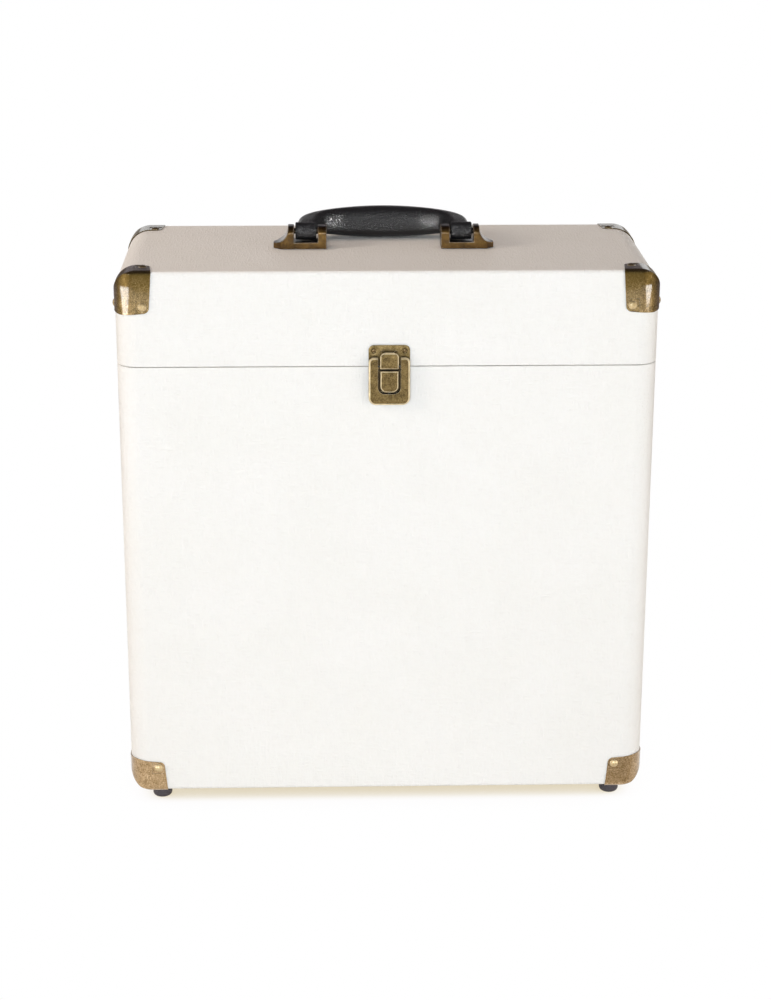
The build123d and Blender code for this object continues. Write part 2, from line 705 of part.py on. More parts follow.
spring_length = spring_seat_below + button_bottom
spring_rise = spring_length - 2 * spring_wire_radius - 2 * glue_gap
spring_foot = (latch_x, -half_depth - spring_depth,
               seam - spring_seat_below + spring_wire_radius + glue_gap)
with BuildPart() as button_spring:
    with BuildLine(Plane(spring_foot)) as coil:
        Helix(spring_rise / spring_turns, spring_rise, spring_coil_radius)
    with BuildSketch(Plane(coil.line @ 0, z_dir=coil.line % 0)):
        Circle(spring_wire_radius)
    sweep(path=coil.line, is_frenet=True)
pieces["button_spring"] = button_spring.part

# ---- Hinges: three knuckles, the outer two on the body's leaf and the middle one on the lid's
knuckle_width = leaf_width / 3
knuckle_half = knuckle_width / 2 - knuckle_end_gap / 2
outer_knuckles = [(side * knuckle_width, knuckle_half) for side in (-1, 1)]
middle_knuckle = [(0, knuckle_half)]
leaf_cutback = knuckle_radius + moving_gap


def hinge_leaf(x, up, knuckles):
    """A leaf flat on the back of the case, above (up is 1) or below (up is -1) the pin at this x."""
    face = Plane((x, half_depth + glue_gap, hinge_axis_z), (-up, 0, 0), (0, 1, 0))
    with BuildPart() as leaf:
        with BuildSketch(face) as outline:
            with Locations((0, leaf_cutback)):
                Rectangle(leaf_width, leaf_height - leaf_cutback, align=(Align.CENTER, Align.MIN))
            fillet(outline.vertices().group_by(Axis.Y)[-1], leaf_radius)
            for middle, half in knuckles:
                with Locations((middle, 0)):
                    Rectangle(2 * half, leaf_cutback, align=(Align.CENTER, Align.MIN))
        extrude(amount=leaf_sheet)
        for middle, half in knuckles:
            with Locations(Plane((x + middle, hinge_axis_y, hinge_axis_z), (0, 1, 0), (1, 0, 0))):
                Cylinder(knuckle_radius, 2 * half)
                Cylinder(hinge_pin_radius + running_clearance, 2 * half, mode=Mode.SUBTRACT)
        add(drillings.part, mode=Mode.SUBTRACT)
    return leaf.part


for end, x in (("left", -hinge_x), ("right", hinge_x)):
    pieces[f"hinge_{end}_body_leaf"] = hinge_leaf(x, -1, outer_knuckles)
    pieces[f"hinge_{end}_lid_leaf"] = hinge_leaf(x, 1, middle_knuckle)
    with BuildPart() as hinge_pin:
        with Locations(Plane((x, hinge_axis_y, hinge_axis_z), (0, 1, 0), (1, 0, 0))):
            Cylinder(hinge_pin_radius, leaf_width)
        for side in (-1, 1):
            head_start = side * (leaf_width / 2 + hinge_pin_head / 2)
            with Locations(Plane((x + head_start, hinge_axis_y, hinge_axis_z), (0, 1, 0), (1, 0, 0))):
                Cylinder(knuckle_radius - hinge_pin_head, hinge_pin_head)
    pieces[f"hinge_{end}_pin"] = hinge_pin.part

for name, part in pieces.items():
    part.label = name
    export_step(part, f"parts/{name}.step")
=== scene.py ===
import json
import math

import bmesh
import bpy
from mathutils import Matrix, Vector

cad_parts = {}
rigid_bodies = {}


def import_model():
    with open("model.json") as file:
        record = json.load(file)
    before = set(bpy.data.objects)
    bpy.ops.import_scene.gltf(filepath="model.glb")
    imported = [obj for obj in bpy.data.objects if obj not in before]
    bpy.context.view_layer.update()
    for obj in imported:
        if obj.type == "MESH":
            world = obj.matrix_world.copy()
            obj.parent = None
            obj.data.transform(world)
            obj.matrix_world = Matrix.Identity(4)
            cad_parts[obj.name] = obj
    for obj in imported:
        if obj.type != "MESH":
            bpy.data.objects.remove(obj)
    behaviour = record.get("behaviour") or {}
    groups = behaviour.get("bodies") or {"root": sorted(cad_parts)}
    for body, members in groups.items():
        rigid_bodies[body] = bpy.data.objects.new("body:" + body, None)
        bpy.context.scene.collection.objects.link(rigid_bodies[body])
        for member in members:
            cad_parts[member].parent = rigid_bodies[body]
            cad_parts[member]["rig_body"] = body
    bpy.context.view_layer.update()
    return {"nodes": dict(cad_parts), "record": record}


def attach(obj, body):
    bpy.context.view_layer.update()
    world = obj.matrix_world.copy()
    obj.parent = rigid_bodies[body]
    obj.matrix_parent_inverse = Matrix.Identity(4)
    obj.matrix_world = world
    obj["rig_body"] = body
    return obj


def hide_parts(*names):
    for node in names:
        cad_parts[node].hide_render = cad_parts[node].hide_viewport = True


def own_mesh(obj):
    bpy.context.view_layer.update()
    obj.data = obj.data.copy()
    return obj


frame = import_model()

mm = 0.001
nodes = frame["nodes"]
slotOf = {part["node"]: part["material_slot"] for part in frame["record"]["subparts"]}
scene = bpy.context.scene
print("frame loaded:", len(nodes), "nodes")


# camera: millimetres and degrees, above the front of the case and a little left of its middle
cameraView = {
    "place": (-44.1, -1504.2, 701.0),
    "lookDown": 18.45,
    "turnRight": 1.71,
    "roll": 0.14,
    "lens": 80.23,
    "sensor": 36,
}


def makeCamera(view):
    camera = bpy.data.objects.new("camera", bpy.data.cameras.new("camera"))
    scene.collection.objects.link(camera)
    camera.data.sensor_fit = "VERTICAL"
    camera.data.sensor_height = view["sensor"]
    camera.data.lens = view["lens"]
    turn = Matrix.Rotation(math.radians(-view["turnRight"]), 4, "Z")
    tilt = Matrix.Rotation(math.radians(90 - view["lookDown"]), 4, "X")
    roll = Matrix.Rotation(math.radians(view["roll"]), 4, "Z")
    camera.matrix_world = Matrix.Translation(Vector(view["place"]) * mm) @ turn @ tilt @ roll
    scene.camera = camera


makeCamera(cameraView)
print("camera ready")


# an sRGB hex value, such as "F5F2EC", as the linear colour that a socket takes
def linear(hexColour):
    parts = [int(hexColour[i:i + 2], 16) / 255 for i in (0, 2, 4)]
    return [p / 12.92 if p <= 0.04045 else ((p + 0.055) / 1.055) ** 2.4 for p in parts] + [1]


# a shader node with its settings; each input is a value or another node's output, and a colour ramp has stops
def addNode(tree, kind, inputs, stops=(), **settings):
    node = tree.nodes.new("ShaderNode" + kind)
    for name, value in settings.items():
        setattr(node, name, value)
    for key, value in inputs.items():
        if isinstance(value, bpy.types.NodeSocket):
            tree.links.new(value, node.inputs[key])
        else:
            node.inputs[key].default_value = value
    elements = node.color_ramp.elements if stops else ()
    while len(elements) < len(stops):
        elements.new(1)
    for element, (place, hexColour) in zip(elements, stops):
        element.position = place
        element.color = linear(hexColour)
    return node


# an empty material and its node tree
def newMaterial(name):
    material = bpy.data.materials.new(name)
    material.use_nodes = True
    material.node_tree.nodes.clear()
    return material, material.node_tree


def finishMaterial(material, tree, shader):
    addNode(tree, "OutputMaterial", {"Surface": shader.outputs[0]})
    return material


# noise in object space, its scale set by the size of one grain in millimetres
def addNoise(tree, grain, detail, roughness=0.5, stretch=(1, 1, 1)):
    place = addNode(tree, "TexCoord", {})
    mapping = addNode(tree, "Mapping", {"Vector": place.outputs["Object"], "Scale": stretch})
    return addNode(tree, "TexNoise", {"Vector": mapping.outputs["Vector"], "Scale": 1 / (grain * mm),
                                      "Detail": detail, "Roughness": roughness}).outputs["Fac"]


# 0 on flat faces, rising to 1 on convex edges that are sharper than the given radius in millimetres
def addEdgeWearAndHighlight(tree, radius, start, end):
    surface = addNode(tree, "NewGeometry", {})
    rounded = addNode(tree, "Bevel", {"Radius": radius * mm}, samples=6)
    cosine = addNode(tree, "VectorMath", {0: rounded.outputs[0], 1: surface.outputs["Normal"]},
                     operation="DOT_PRODUCT")
    return addNode(tree, "MapRange", {"Value": cosine.outputs["Value"], "From Min": 1 - start,
                                      "From Max": 1 - end, "To Min": 0, "To Max": 1}).outputs[0]


# PVC leatherette, calendered with a fine linen emboss: matt cream, and the emboss shows only in raking light
leatherette = {
    "colour": ((0.30, "F7F6F1"), (0.70, "F9F8F4")),
    # the emboss's valleys are painted a little darker: some dirt, and painted shade in the creases
    "valleyColour": "DAD4CA",
    "valleyShare": 0.05,
    "valleyRange": (0.42, 0.62),
    "mottle": 60,  # millimetres
    "threadSpacing": 1.5,  # the real emboss is about 0.5 mm, drawn coarser so that it shows
    "threadStretch": 0.2,
    "embossDepth": 0.75,
    "roughness": 0.55,
}


def leatheretteMaterial(look):
    material, tree = newMaterial("cream_pvc_leatherette")
    spacing, stretch = look["threadSpacing"], look["threadStretch"]
    mottle = addNoise(tree, look["mottle"], detail=2)
    along = addNoise(tree, spacing, detail=2, roughness=0.6, stretch=(stretch, 1, 1))
    across = addNoise(tree, spacing, detail=2, roughness=0.6, stretch=(1, stretch, stretch))
    weave = addNode(tree, "Math", {0: along, 1: across}, operation="MAXIMUM")
    # painted shade and dirt in the emboss's valleys
    low, high = look["valleyRange"]
    valley = addNode(tree, "MapRange", {"Value": weave.outputs[0], "From Min": high, "From Max": low,
                                        "To Min": 0, "To Max": look["valleyShare"]})
    colour = addNode(tree, "ValToRGB", {"Fac": mottle}, look["colour"])
    shaded = addNode(tree, "Mix", {0: valley.outputs[0], 6: colour.outputs["Color"],
                                   7: linear(look["valleyColour"])}, data_type="RGBA")
    bump = addNode(tree, "Bump", {"Height": weave.outputs[0], "Distance": look["embossDepth"] * mm,
                                  "Strength": 1})
    shader = addNode(tree, "BsdfPrincipled", {"Base Color": shaded.outputs[2],
                                              "Roughness": look["roughness"], "Normal": bump.outputs[0]})
    return finishMaterial(material, tree, shader)


# what all the antique plates share: shinier in patches, and dark in recesses, which rubbing hardly reaches.
# The dark in recesses comes from occlusion: partly patina that gathers there, partly painted shade
antiquePlate = {
    "metallic": 1,
    "speckleDepth": 0.03,  # millimetres
    "glossPatches": (0.3, 0.7),
    "recessShare": 0.95,
    "recessShelter": 0.75,  # how much of its rubbing the deepest recess is spared
    # how dark the painted shade on upward faces gets
    "paintedDarkTopShare": 0.9,
    "raisedEdgeHighlights": False,
    "raisedSlope": (0.985, 0.88),  # how far a slope faces the front: 1 on a flat front face, 0 on a side wall
    "raisedFront": (0.15, 0.40),
    "raisedHighlightPatches": (0.42, 0.60),
    "leastRaisedHighlight": 0.7,  # how strong the raised edges' rubbing and painted highlight stay between the patches
}

# pressed steel, antique brass plated and lacquered: brown patina with gold speckles, rubbed to gold on edges,
# which also carry a painted highlight
antiqueBrass = {
    **antiquePlate,
    "patina": ((0.34, "54431F"), (0.44, "7E6638"), (0.52, "9C804D"), (0.60, "BA9B66"), (0.70, "F0D8A6")),
    "recess": "20160A",
    "recessReach": 1.2,  # millimetres, as are the patch, the speckle and the edges' radius
    "recessRange": (0.45, 0.95),
    # rubbed edges turn this pale gold, which also paints a highlight on them
    "edge": "F2DDB0",
    "wearAndHighlightMetallic": 0.8,
    "patch": 4.5,
    "speckle": 0.9,
    "speckleShare": 0.72,
    "roughness": (0.38, 0.50),
    "lacquer": 1.0,
    "lacquerRoughness": 0.06,
    "wearAndHighlightRadius": 0.45,
    "wearAndHighlightRange": (0.03, 0.22),
}

# the lid's corners: darker just under their fold, where a dark reflection is painted into the colour. Their
# lacquer has a gap, given by its middle height and by how far from there the lacquer starts and is whole. It
# ends the highlight below the fold, and stands in for a double curve that the modelled corners lack
lidCornerBrass = {
    **antiqueBrass,
    "foldDarkReflection": "5E4A22",
    "foldDarkReflectionShare": 0.8,
    "foldDarkReflectionRange": (362, 380),
    "lacquerGap": (376.5, 4, 5),
}

# the body's corners: a lighter copy of the plate, which paints in the reflection of the white table below
# them
bodyCornerBrass = {
    **antiqueBrass,
    "patina": ((0.34, "7A5F38"), (0.44, "9A7C4E"), (0.52, "B4946A"), (0.60, "CBAB80"), (0.70, "F2DAB4")),
}

# the latch's pressings: darker in their deep gaps, partly patina and partly painted shade, and rubbed to pale
# gold on every raised edge, with a painted highlight there too
latchBrass = {
    **antiqueBrass,
    "patina": ((0.34, "382C16"), (0.44, "594726"), (0.52, "705C37"), (0.62, "887145"), (0.74, "BEA472")),
    "recessReach": 4,
    "recessRange": (0.35, 0.85),
    "wearAndHighlightMetallic": 0.35,
    "speckleShare": 0.55,
    "lacquer": 0.3,
    "lacquerRoughness": 0.14,
    "raisedEdgeHighlights": True,
}

# the plate above the latch: the same pressing, without the extra rubbing and painted highlight on its raised
# edges
keeperBrass = {
    **latchBrass,
    "patina": ((0.34, "44371C"), (0.44, "6A572E"), (0.52, "816C44"), (0.62, "9B8456"), (0.74, "D6BE90")),
    "raisedEdgeHighlights": False,
}

# cast zinc, antique bronze plated: darker and browner than the pressed brass
antiqueBronze = {
    **antiquePlate,
    "patina": ((0.32, "31210A"), (0.48, "553C15"), (0.60, "6D5021"), (0.75, "966E36")),
    "recess": "140D05",
    "recessReach": 1.5,
    "recessRange": (0.30, 0.75),
    # the edges' near-white is partly rubbing and partly a painted highlight
    "edge": "FFF0D8",
    "wearAndHighlightMetallic": 0.3,
    # painted shade on faces that point up: the posts' tops
    "paintedDarkTop": "20160A",
    "paintedDarkTopRange": (0.75, 0.95),
    "patch": 6,
    "speckle": 1.2,
    "speckleShare": 0.35,
    "roughness": (0.28, 0.40),
    "lacquer": 0.5,
    "lacquerRoughness": 0.2,
    "wearAndHighlightRadius": 0.7,
    "wearAndHighlightRange": (0.01, 0.08),
}

# the corners' nails: the same plate, rubbed bright, with painted shade on their tops
nailBrass = {
    **antiqueBrass,
    "patina": ((0.30, "B0925A"), (0.50, "D2B682"), (0.70, "ECD8AA")),
    "recess": "6A5026",
    "metallic": 0.55,
    "paintedDarkTop": "3A2C16",
    "paintedDarkTopRange": (0.5, 0.8),
}

# the keeper's nails, taken to be sunk, and dark bronze that also paints the shade of their holes
keeperNailBronze = {
    **antiqueBronze,
    "edge": "7A6238",
    "wearAndHighlightMetallic": 0.8,
}


# patches and speckles of patina; for the lid's corners a painted dark reflection that grows with height under
# the fold, and for some plates painted shade on faces that point up
def addPatinaAndPaintedShade(tree, look, patch, speckle):
    mixed = addNode(tree, "Mix", {0: look["speckleShare"], 2: patch, 3: speckle}, data_type="FLOAT")
    colour = addNode(tree, "ValToRGB", {"Fac": mixed.outputs[0]}, look["patina"]).outputs["Color"]
    # a painted dark reflection, growing with height
    if "foldDarkReflection" in look:
        low, high = look["foldDarkReflectionRange"]
        height = addNode(tree, "SeparateXYZ", {0: addNode(tree, "TexCoord", {}).outputs["Object"]})
        share = addNode(tree, "MapRange", {"Value": height.outputs["Z"], "From Min": low * mm,
                                           "From Max": high * mm, "To Min": 0,
                                           "To Max": look["foldDarkReflectionShare"]})
        colour = addNode(tree, "Mix", {0: share.outputs[0], 6: colour, 7: linear(look["foldDarkReflection"])},
                         data_type="RGBA").outputs[2]
    # painted shade on faces that point up
    if "paintedDarkTop" in look:
        slanted, level = look["paintedDarkTopRange"]
        upward = addNode(tree, "SeparateXYZ", {0: addNode(tree, "TexCoord", {}).outputs["Normal"]})
        share = addNode(tree, "MapRange", {"Value": upward.outputs["Z"], "From Min": slanted,
                                           "From Max": level, "To Min": 0, "To Max": look["paintedDarkTopShare"]})
        colour = addNode(tree, "Mix", {0: share.outputs[0], 6: colour, 7: linear(look["paintedDarkTop"])},
                         data_type="RGBA").outputs[2]
    return colour


# 1 on the slopes between a flat front face and its side walls, and a little less in patches: where rubbing
# and a painted highlight brighten the raised edges
def addRaisedEdgeHighlights(tree, look, patch):
    place = addNode(tree, "TexCoord", {})
    facing = addNode(tree, "VectorMath", {0: place.outputs["Normal"], 1: (0, -1, 0)},
                     operation="DOT_PRODUCT").outputs["Value"]
    flat, sloping = look["raisedSlope"]
    slope = addNode(tree, "MapRange", {"Value": facing, "From Min": flat, "From Max": sloping,
                                       "To Min": 0, "To Max": 1})
    wall, raised = look["raisedFront"]
    front = addNode(tree, "MapRange", {"Value": facing, "From Min": wall, "From Max": raised,
                                       "To Min": 0, "To Max": 1})
    low, high = look["raisedHighlightPatches"]
    uneven = addNode(tree, "MapRange", {"Value": patch, "From Min": low, "From Max": high,
                                        "To Min": look["leastRaisedHighlight"], "To Max": 1})
    edges = addNode(tree, "Math", {0: slope.outputs[0], 1: front.outputs[0]}, operation="MULTIPLY")
    return addNode(tree, "Math", {0: edges.outputs[0], 1: uneven.outputs[0]}, operation="MULTIPLY").outputs[0]


# the lacquer's weight: the same all over, or none in a band round one height
def addLacquer(tree, look):
    if "lacquerGap" not in look:
        return look["lacquer"]
    middle, bare, coated = look["lacquerGap"]
    height = addNode(tree, "SeparateXYZ", {0: addNode(tree, "TexCoord", {}).outputs["Object"]})
    above = addNode(tree, "Math", {0: height.outputs["Z"], 1: middle * mm}, operation="SUBTRACT")
    away = addNode(tree, "Math", {0: above.outputs[0]}, operation="ABSOLUTE")
    return addNode(tree, "MapRange", {"Value": away.outputs[0], "From Min": bare * mm,
                                      "From Max": coated * mm, "To Min": 0,
                                      "To Max": look["lacquer"]}).outputs[0]


def patinaMaterial(name, look):
    material, tree = newMaterial(name)
    patch = addNoise(tree, look["patch"], detail=4, roughness=0.6)
    speckle = addNoise(tree, look["speckle"], detail=3, roughness=0.7)
    colour = addPatinaAndPaintedShade(tree, look, patch, speckle)
    # rubbed edges, which also carry a painted highlight
    wearAndHighlight = addEdgeWearAndHighlight(tree, look["wearAndHighlightRadius"], *look["wearAndHighlightRange"])
    if look["raisedEdgeHighlights"]:
        wearAndHighlight = addNode(tree, "Math", {0: wearAndHighlight, 1: addRaisedEdgeHighlights(tree, look, patch)},
                       operation="MAXIMUM").outputs[0]
    # occlusion darkens the recesses: patina that gathers there, and painted shade
    hollow = addNode(tree, "AmbientOcclusion", {"Distance": look["recessReach"] * mm}, samples=8)
    deep, shallow = look["recessRange"]
    shade = addNode(tree, "MapRange", {"Value": hollow.outputs["AO"], "From Min": deep, "From Max": shallow,
                                       "To Min": look["recessShare"], "To Max": 0})
    openness = addNode(tree, "Math", {0: shade.outputs[0], 1: -look["recessShelter"], 2: 1},
                       operation="MULTIPLY_ADD")
    rubbedAndHighlit = addNode(tree, "Math", {0: wearAndHighlight, 1: openness.outputs[0]}, operation="MULTIPLY")
    dark = addNode(tree, "Mix", {0: shade.outputs[0], 6: colour, 7: linear(look["recess"])}, data_type="RGBA")
    wornAndHighlit = addNode(tree, "Mix", {0: rubbedAndHighlit.outputs[0], 6: dark.outputs[2], 7: linear(look["edge"])},
                   data_type="RGBA")
    metallic = addNode(tree, "MapRange", {"Value": rubbedAndHighlit.outputs[0], "To Min": look["metallic"],
                                          "To Max": look["wearAndHighlightMetallic"]})
    smooth, rough = look["roughness"]
    low, high = look["glossPatches"]
    gloss = addNode(tree, "MapRange", {"Value": patch, "From Min": low, "From Max": high,
                                       "To Min": rough, "To Max": smooth})
    bump = addNode(tree, "Bump", {"Height": speckle, "Distance": look["speckleDepth"] * mm, "Strength": 1})
    shader = addNode(tree, "BsdfPrincipled", {
        "Base Color": wornAndHighlit.outputs[2], "Metallic": metallic.outputs[0], "Roughness": gloss.outputs[0],
        "Coat Weight": addLacquer(tree, look), "Coat Roughness": look["lacquerRoughness"],
        "Normal": bump.outputs[0]})
    return finishMaterial(material, tree, shader)


# soft PVC, moulded: black, with a leather pebble on the grip's upper side and on its barrels that breaks up
# the highlights, and only a trace of it below the mould's parting line
handlePvc = {
    "colour": ((0.2, "0B0B0D"), (0.8, "141416")),
    "pebble": 0.8,  # millimetres, as are its depth, the parting line, the barrels and the voxel
    "pebbleDepth": 0.85,
    "creasesPerPebble": 3,
    "creaseShare": 0.35,
    "levelGrain": 0.45,  # the grain's value that stays level with the smooth surface
    "trace": 0.15,
    "partingLine": (386, 391),
    "barrels": (47, 49),
    "roughness": 0.30,
    "voxel": 0.55,
    "softening": 8,
    "softeningStep": 0.5,
}


def handleMaterial(look):
    material, tree = newMaterial("black_moulded_pvc")
    place = addNode(tree, "TexCoord", {})
    pebbles = addNode(tree, "TexVoronoi", {"Vector": place.outputs["Object"],
                                           "Scale": 1 / (look["pebble"] * mm)}, feature="SMOOTH_F1")
    creases = addNoise(tree, look["pebble"] / look["creasesPerPebble"], detail=2)
    grain = addNode(tree, "Mix", {0: look["creaseShare"], 2: pebbles.outputs["Distance"], 3: creases},
                    data_type="FLOAT")
    where = addNode(tree, "SeparateXYZ", {0: place.outputs["Object"]})
    low, high = look["partingLine"]
    upper = addNode(tree, "MapRange", {"Value": where.outputs["Z"], "From Min": low * mm,
                                       "From Max": high * mm, "To Min": look["trace"], "To Max": 1})
    aside = addNode(tree, "Math", {0: where.outputs["X"]}, operation="ABSOLUTE")
    inner, outer = look["barrels"]
    barrel = addNode(tree, "MapRange", {"Value": aside.outputs[0], "From Min": inner * mm,
                                        "From Max": outer * mm})
    pebbled = addNode(tree, "Math", {0: upper.outputs[0], 1: barrel.outputs[0]}, operation="MAXIMUM")
    centred = addNode(tree, "Math", {0: grain.outputs[0], 1: look["levelGrain"]}, operation="SUBTRACT")
    relief = addNode(tree, "Math", {0: centred.outputs[0], 1: pebbled.outputs[0]}, operation="MULTIPLY")
    bump = addNode(tree, "Bump", {"Height": relief.outputs[0], "Distance": look["pebbleDepth"] * mm,
                                  "Strength": 1}, invert=True)
    colour = addNode(tree, "ValToRGB", {"Fac": creases}, look["colour"])
    shader = addNode(tree, "BsdfPrincipled", {"Base Color": colour.outputs["Color"],
                                              "Roughness": look["roughness"], "Normal": bump.outputs[0]})
    return finishMaterial(material, tree, shader)


# the other finishes, by slot: the colour from dark to light grain, and the size and depth of that grain
plainFinishes = {
    # dark grey and matt, with broad soft highlights
    "rubber": {"name": "moulded_rubber", "colour": ("3C373A", "4C464A"), "metallic": 0, "roughness": 0.62,
               "grain": 0.5, "depth": 0.05, "sheen": 0},
    # black that takes up the light, but for a faint sheen where it turns away
    "lining": {"name": "black_flocked_paper", "colour": ("121214", "1D1D20"), "metallic": 0,
               "roughness": 0.95, "grain": 0.4, "depth": 0.12, "sheen": 0.4},
    # mid grey and quite matt
    "lip_board": {"name": "grey_paper_lip", "colour": ("6E6A66", "7C7874"), "metallic": 0,
                  "roughness": 0.85, "grain": 0.4, "depth": 0.08, "sheen": 0},
    # pale grey metal with a satin shine
    "steel": {"name": "zinc_plated_steel", "colour": ("A9A9A6", "C9C9C4"), "metallic": 1,
              "roughness": 0.34, "grain": 2.0, "depth": 0.01, "sheen": 0},
    # flecked brown, matt
    "board": {"name": "raw_fibreboard", "colour": ("8F6F4B", "A98A62"), "metallic": 0, "roughness": 0.85,
              "grain": 0.7, "depth": 0.08, "sheen": 0},
}
plainRange = (0.3, 0.7)  # the grain's values at which it is fully dark and fully light


def plainMaterial(look):
    material, tree = newMaterial(look["name"])
    noise = addNoise(tree, look["grain"], detail=4, roughness=0.6)
    bump = addNode(tree, "Bump", {"Height": noise, "Distance": look["depth"] * mm, "Strength": 1})
    colour = addNode(tree, "ValToRGB", {"Fac": noise}, list(zip(plainRange, look["colour"])))
    shader = addNode(tree, "BsdfPrincipled", {
        "Base Color": colour.outputs["Color"], "Metallic": look["metallic"],
        "Roughness": look["roughness"], "Sheen Weight": look["sheen"], "Normal": bump.outputs[0]})
    return finishMaterial(material, tree, shader)


# materials by slot, and those of single pieces
materials = {
    "leatherette": leatheretteMaterial(leatherette),
    "antique_brass": patinaMaterial("antique_brass_plate", antiqueBrass),
    "bracket_bronze": patinaMaterial("antique_bronze_casting", antiqueBronze),
    "grip_plastic": handleMaterial(handlePvc),
    "nail": patinaMaterial("nail_brass_painted_dark_top", nailBrass),
    "latch": patinaMaterial("latch_brass_plate", latchBrass),
    "keeper": patinaMaterial("keeper_brass_plate", keeperBrass),
    "keeper_nail": patinaMaterial("sunk_nail_bronze", keeperNailBronze),
    "lid_corner": patinaMaterial("brass_plate_painted_fold_reflection", lidCornerBrass),
    "body_corner": patinaMaterial("brass_plate_painted_table_reflection", bodyCornerBrass),
}
for slotName, look in plainFinishes.items():
    materials[slotName] = plainMaterial(look)

# nodes with a finish of their own; the others take their slot's
finishOf = {
    "lid_corner_nails": "nail",
    "body_corner_nails": "nail",
    "keeper_plate": "keeper",
    "keeper_nails": "keeper_nail",
    "handle_pin_left": "bracket_bronze",
    "handle_pin_right": "bracket_bronze",
    "latch_body": "latch",
    "latch_button": "latch",
    "hasp": "latch",
}
for side in ("front_left", "front_right", "back_left", "back_right"):
    finishOf["lid_corner_" + side] = "lid_corner"
    finishOf["body_corner_" + side] = "body_corner"
for node, slotName in slotOf.items():
    nodes[node].data.materials.clear()
    nodes[node].data.materials.append(materials[finishOf.get(node, slotName)])
print("materials ready:", len(materials))


weldGap = 0.001  # millimetres


# a form to work on: a CAD node's mesh, its loose triangles joined
def joinedForm(node):
    form = bmesh.new()
    form.from_mesh(nodes[node].data)
    bmesh.ops.remove_doubles(form, verts=form.verts, dist=weldGap * mm)
    return form


# an object of the given form and material, in the scene
def makeObject(name, form, material):
    mesh = bpy.data.meshes.new(name)
    form.to_mesh(mesh)
    form.free()
    mesh.materials.append(material)
    holder = bpy.data.objects.new(name, mesh)
    scene.collection.objects.link(holder)
    return holder


# nodes whose CAD edges are dead sharp, by a word in their names, and the radius in millimetres that pressing,
# casting or moulding leaves on them; nails stay as they are
edgeRadius = {
    "corner": 0.14,
    "keeper_plate": 0.2,
    "latch_body": 0.2,
    "hasp": 0.3,
    "latch_button": 0.3,
    "bracket": 0.5,
    "leaf": 0.15,
}
sharpTurn = 28  # degrees: an edge that turns further is rounded
smoothTurn = 50  # degrees: an edge that turns further is shaded as a sharp one


# a copy of a CAD node with its edges rounded, which stands for that node
def softenNode(node, radius):
    form = joinedForm(node)
    edges = [edge for edge in form.edges if edge.is_manifold
             and edge.calc_face_angle() > math.radians(sharpTurn)]
    bmesh.ops.bevel(form, geom=edges, offset=radius * mm, offset_type="OFFSET", segments=2, profile=0.5,
                    affect="EDGES", clamp_overlap=False, material=-1)
    for face in form.faces:
        face.smooth = True
    piece = makeObject(node + "_softened", form, nodes[node].data.materials[0])
    piece.data.set_sharp_from_angle(angle=math.radians(smoothTurn))
    piece.modifiers.new("flat faces", "WEIGHTED_NORMAL").keep_sharp = True
    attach(piece, nodes[node]["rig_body"])
    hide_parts(node)


# the grip, its arms and its barrels are one moulding, so the CAD node's copy is fused and its joins softened
def mouldHandle(look):
    piece = makeObject("moulded_handle", joinedForm("handle"), materials["grip_plastic"])
    fuse = piece.modifiers.new("fuse", "REMESH")
    fuse.mode = "VOXEL"
    fuse.voxel_size = look["voxel"] * mm
    fuse.use_smooth_shade = True
    soften = piece.modifiers.new("soften", "SMOOTH")
    soften.factor = look["softeningStep"]
    soften.iterations = look["softening"]
    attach(piece, "handle")
    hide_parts("handle")


# the button's spring, as a copy of its own that stays with the case
def pressSpring():
    mesh = nodes["button_spring"].data.copy()
    mesh.name = "pressed_spring"
    spring = bpy.data.objects.new("pressed_spring", mesh)
    scene.collection.objects.link(spring)
    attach(spring, "case")
    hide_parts("button_spring")
    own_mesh(spring)


for node in nodes:
    for word, radius in edgeRadius.items():
        if word in node and "nails" not in node:
            softenNode(node, radius)
mouldHandle(handlePvc)
pressSpring()
print("edges softened")


# lamps, in millimetres and watts: a cool key softbox in front and high, warmer ones at the left, the right
# and above, and one behind; of these only the key shows in reflections. The last three light nothing but the
# handle, and only as reflections: two round ones on the grip's shoulders, and a strip along it
studio = {
    "key": {"place": (-200, -2000, 700), "aim": (0, 0, 180), "size": (1100, 900), "power": 19.5,
            "colour": "E6F2FF"},
    "leftLamp": {"place": (-1400, -500, 950), "aim": (0, 0, 350), "size": (450, 450), "power": 9,
                 "colour": "FFF0E4"},
    "rightLamp": {"place": (1500, -900, 350), "aim": (0, 0, 200), "size": (800, 700), "power": 8,
                  "colour": "FFF4EC"},
    "topLamp": {"place": (-300, 150, 1600), "aim": (0, 0, 380), "size": (900, 900), "power": 3.6,
                "colour": "FFDFCA"},
    "backLamp": {"place": (300, 2000, 350), "aim": (0, 0, 200), "size": (1200, 700), "power": 9,
                 "colour": "FFFFFF"},
    "leftGripSpot": {"place": (-33, -57, 403), "aim": (-35, 23, 395), "radius": 5, "cone": 10, "power": 1.75,
                     "colour": "FFFFFF", "only": "moulded_handle"},
    "rightGripSpot": {"place": (33, -57, 393.5), "aim": (33, 23, 395), "radius": 5, "cone": 10, "power": 1.75,
                      "colour": "FFFFFF", "only": "moulded_handle"},
    "gripFill": {"place": (0, -300, 410), "aim": (0, 23, 392), "size": (170, 40), "power": 1.2,
                 "colour": "FFFFFF", "only": "moulded_handle"},
}


